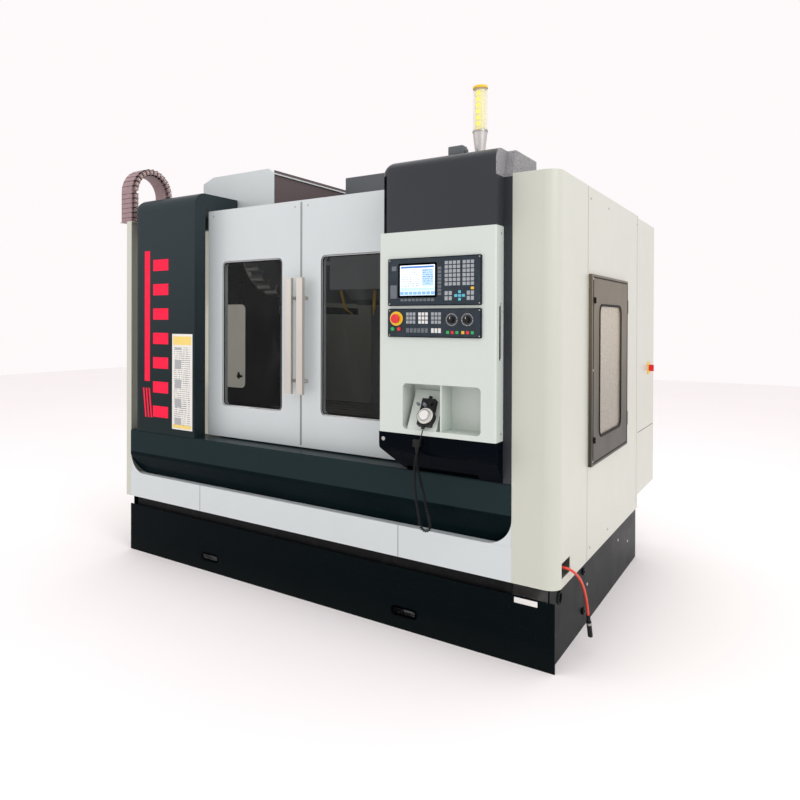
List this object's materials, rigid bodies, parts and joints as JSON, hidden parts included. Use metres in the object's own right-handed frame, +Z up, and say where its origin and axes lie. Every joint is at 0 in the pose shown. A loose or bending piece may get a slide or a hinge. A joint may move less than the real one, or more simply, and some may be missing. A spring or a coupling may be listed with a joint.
{
  "type": "vertical machining center",
  "caption": "Enclosed vertical machining center with sliding windowed doors, side control box, hanging pendant, overhead tool magazine, signal lamp and rear electrical cabinet.",
  "frame": {"origin": "on the floor, at the middle levelling foot, under the middle of the table's travel", "axes": "+X to the right as seen from the front, along the table's long travel; +Y from the front doors towards the back; +Z up"},
  "size_m": [2.661, 2.1113, 2.361],
  "materials": {
    "white_paint": "satin",
    "cream_paint": "satin",
    "charcoal_paint": "fine texture",
    "black_paint": "satin",
    "grey_paint": "satin",
    "taupe_paint": "fine texture",
    "casting_paint": "satin",
    "casting": "machined",
    "ground_steel": "ground",
    "brushed_steel": "brushed",
    "zinc_steel": "zinc plated",
    "aluminium": "satin",
    "safety_glass": "clear",
    "side_glass": "clear with film",
    "screen_glass": "lit display",
    "panel_plastic": "membrane",
    "black_plastic": "matte",
    "yellow_plastic": "gloss",
    "red_plastic": "gloss",
    "green_plastic": "gloss",
    "lamp_clear": "clear tube over a yellow lamp",
    "chain_plastic": "matte",
    "pendant_plastic": "matte",
    "cord_rubber": "coiled",
    "red_rubber": "smooth",
    "brass": "satin"
  },
  "bodies": {
    "machine": {"base_skirt": "black_paint", "bed_casting": "casting_paint", "leveling_feet": "zinc_steel", "column_casting": "casting_paint", "guide_rails": "ground_steel", "magazine_bracket": "casting_paint", "left_wall": "cream_paint", "right_pillar": "cream_paint", "right_side_panel": "cream_paint", "rear_panels": "cream_paint", "inner_guards": "cream_paint", "front_sill": "white_paint", "bezel_column": "charcoal_paint", "bezel_band": "charcoal_paint", "control_box": "white_paint", "control_apron": "black_paint", "control_hood": "charcoal_paint", "hood_end_plate": "black_paint", "door_rail": "grey_paint", "magazine_cover": "white_paint", "screen_panel": "panel_plastic", "display": "screen_glass", "operator_panel": "panel_plastic", "estop_collar": "yellow_plastic", "tower_light_base": "brushed_steel", "tower_light_lens": "lamp_clear", "electrical_cabinet": "cream_paint", "main_switch_plate": "yellow_plastic", "drag_chain": "chain_plastic", "pendant": "pendant_plastic", "cord_gland": "zinc_steel", "pendant_cord": "cord_rubber", "red_hose": "red_rubber", "hose_fitting": "brass", "hose_coupler": "brass"},
    "left_door": {"left_door_panel": "white_paint", "left_door_glass": "safety_glass", "left_door_handle": "brushed_steel"},
    "right_door": {"right_door_panel": "white_paint", "right_door_glass": "safety_glass", "right_door_handle": "brushed_steel"},
    "side_door": {"side_door_frame": "taupe_paint", "side_door_glass": "side_glass"},
    "lower_latch": {"lower_latch": "black_plastic"},
    "upper_latch": {"upper_latch": "black_plastic"},
    "cabinet_door": {"cabinet_door": "cream_paint"},
    "main_switch": {"main_switch_handle": "red_plastic"},
    "saddle": {"saddle": "casting"},
    "table": {"table": "casting"},
    "z_head": {"headstock": "casting_paint", "motor_cover": "grey_paint"},
    "spindle": {"spindle": "ground_steel"},
    "magazine_drum": {"magazine_drum": "aluminium"},
    "tool_change_arm": {"tool_change_arm": "ground_steel"},
    "estop": {"estop_button": "red_plastic"},
    "green_button": {"green_button": "green_plastic"},
    "red_button": {"red_button": "red_plastic"},
    "feed_knob": {"feed_knob": "black_plastic"},
    "speed_knob": {"speed_knob": "black_plastic"},
    "pendant_wheel": {"pendant_wheel": "black_plastic"}
  },
  "joints": [
    {"name": "left_door_slide", "type": "slide", "parent": "machine", "child": "left_door", "axis": [-1, 0, 0], "range_m": [0, 0.47]},
    {"name": "right_door_slide", "type": "slide", "parent": "machine", "child": "right_door", "axis": [1, 0, 0], "range_m": [0, 0.44]},
    {"name": "side_door_hinge", "type": "hinge", "parent": "machine", "child": "side_door", "pos_m": [1.2673, 0.1643, 1.15], "axis": [0, 0, 1], "range_deg": [0, 110]},
    {"name": "lower_latch_turn", "type": "hinge", "parent": "side_door", "child": "lower_latch", "pos_m": [1.2746, -0.522, 0.843], "axis": [1, 0, 0], "range_deg": [0, 90]},
    {"name": "upper_latch_turn", "type": "hinge", "parent": "side_door", "child": "upper_latch", "pos_m": [1.2746, -0.522, 1.453], "axis": [1, 0, 0], "range_deg": [0, 90]},
    {"name": "cabinet_door_hinge", "type": "hinge", "parent": "machine", "child": "cabinet_door", "pos_m": [0.349, 0.9753, 1.17], "axis": [0, 0, 1], "range_deg": [0, 110]},
    {"name": "main_switch_turn", "type": "hinge", "parent": "machine", "child": "main_switch", "pos_m": [1.2643, 0.816, 1.086], "axis": [1, 0, 0], "range_deg": [0, 90]},
    {"name": "saddle_slide", "type": "slide", "parent": "machine", "child": "saddle", "axis": [0, 1, 0], "range_m": [-0.25, 0.245]},
    {"name": "table_slide", "type": "slide", "parent": "saddle", "child": "table", "axis": [1, 0, 0], "range_m": [-0.4, 0.4]},
    {"name": "head_slide", "type": "slide", "parent": "machine", "child": "z_head", "axis": [0, 0, -1], "range_m": [0, 0.5]},
    {"name": "spindle_spin", "type": "hinge", "parent": "z_head", "child": "spindle", "pos_m": [0, -0.32, 1.45], "axis": [0, 0, 1], "continuous": true},
    {"name": "drum_spin", "type": "hinge", "parent": "machine", "child": "magazine_drum", "pos_m": [-0.695, -0.32, 1.83], "axis": [1, 0, 0], "continuous": true},
    {"name": "arm_swing", "type": "hinge", "parent": "machine", "child": "tool_change_arm", "pos_m": [-0.325, -0.32, 1.4], "axis": [0, 0, 1], "range_deg": [-90, 90]},
    {"name": "estop_press", "type": "slide", "parent": "machine", "child": "estop", "axis": [0, 1, 0], "range_m": [0, 0.006]},
    {"name": "green_press", "type": "slide", "parent": "machine", "child": "green_button", "axis": [0, 1, 0], "range_m": [0, 0.002], "stiffness_N_per_m": 600},
    {"name": "red_press", "type": "slide", "parent": "machine", "child": "red_button", "axis": [0, 1, 0], "range_m": [0, 0.002], "stiffness_N_per_m": 600},
    {"name": "feed_turn", "type": "hinge", "parent": "machine", "child": "feed_knob", "pos_m": [0.862, -1.088, 1.367], "axis": [0, 1, 0], "range_deg": [-135, 135]},
    {"name": "speed_turn", "type": "hinge", "parent": "machine", "child": "speed_knob", "pos_m": [0.929, -1.088, 1.367], "axis": [0, 1, 0], "range_deg": [-135, 135]},
    {"name": "wheel_spin", "type": "hinge", "parent": "machine", "child": "pendant_wheel", "pos_m": [0.738, -1.0754, 0.9669], "axis": [0, -0.8829, 0.4695], "continuous": true}
  ]
}
